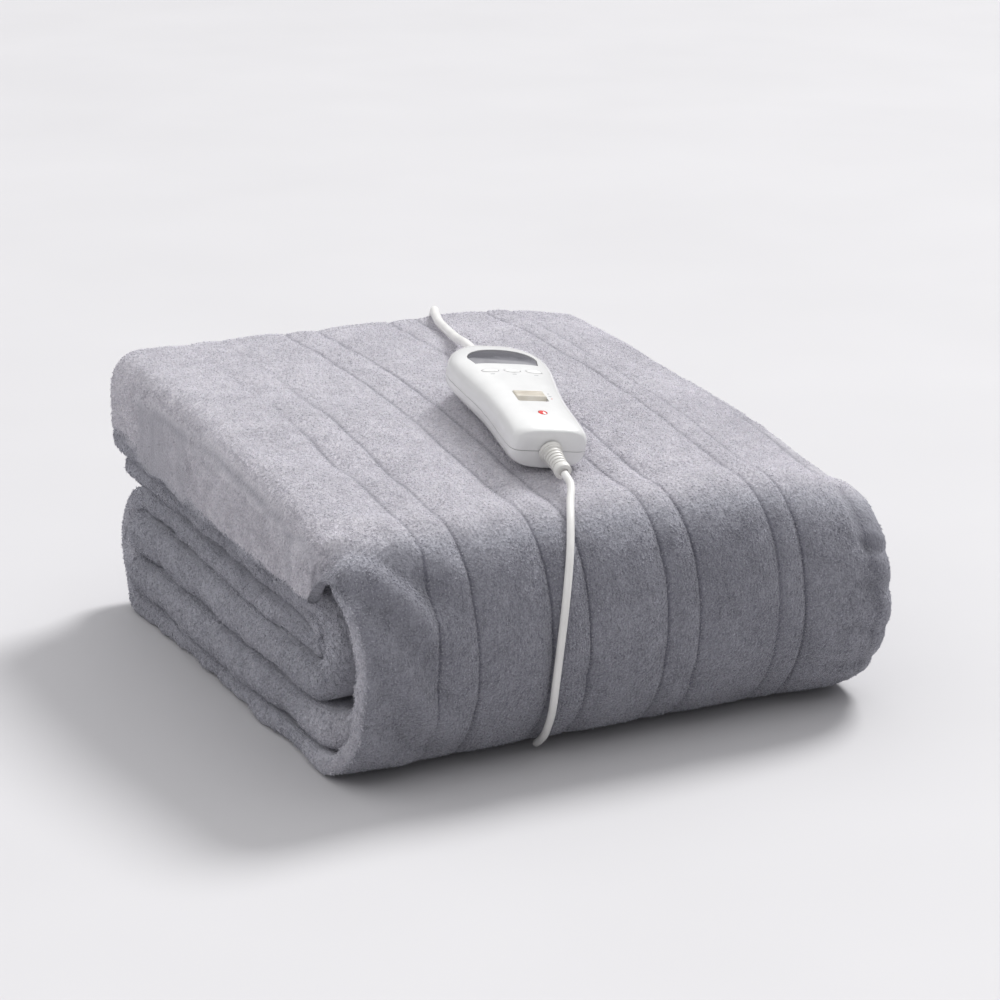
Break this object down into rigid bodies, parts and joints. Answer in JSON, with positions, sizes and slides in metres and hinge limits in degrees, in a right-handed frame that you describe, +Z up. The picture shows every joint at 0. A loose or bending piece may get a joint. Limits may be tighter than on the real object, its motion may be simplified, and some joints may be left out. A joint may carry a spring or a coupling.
{
  "type": "folded electric heated throw with hand controller",
  "caption": "Plush heated blanket folded into a thick bundle, with a hand controller on top, its lead over the front, and a mains lead with plug behind.",
  "frame": {"origin": "on the surface it lies on, under the middle of the folded bundle", "axes": "+Z up, +X along the front face from its left end to its right end, +Y from the rounded front fold to the back"},
  "size_m": [0.4023, 0.592, 0.2214],
  "materials": {
    "plush": "plush pile with soft sewn channels",
    "shell": "glossy",
    "window": "smoked, glossy",
    "button": "satin",
    "slider": "satin",
    "lamp": "glossy",
    "sleeve": "matte",
    "lead": "satin",
    "tie": "satin",
    "plug": "satin",
    "pin": "polished"
  },
  "bodies": {
    "throw": {"throw": "plush", "controller_lower": "shell", "controller_upper": "shell", "display_window": "window", "lamp": "lamp", "tail_sleeve": "sleeve", "head_sleeve": "sleeve", "throw_lead": "lead", "mains_lead": "lead", "mains_coil": "lead", "plug_lead": "lead", "coil_tie": "tie", "plug_body": "plug", "plug_pin_left": "pin", "plug_pin_right": "pin"},
    "slider": {"slider": "slider"},
    "button_left": {"button_left": "button"},
    "button_middle": {"button_middle": "button"},
    "button_right": {"button_right": "button"}
  },
  "joints": [
    {"name": "slider_slide", "type": "slide", "parent": "throw", "child": "slider", "axis": [0.1591, 0.9719, 0.1736], "range_m": [-0.004, 0]},
    {"name": "button_left_press", "type": "slide", "parent": "throw", "child": "button_left", "axis": [-0.0924, 0.1898, -0.9775], "range_m": [0, 0.0006], "stiffness_N_per_m": 800},
    {"name": "button_middle_press", "type": "slide", "parent": "throw", "child": "button_middle", "axis": [-0.0924, 0.1898, -0.9775], "range_m": [0, 0.0006], "stiffness_N_per_m": 800},
    {"name": "button_right_press", "type": "slide", "parent": "throw", "child": "button_right", "axis": [-0.0924, 0.1898, -0.9775], "range_m": [0, 0.0006], "stiffness_N_per_m": 800}
  ]
}
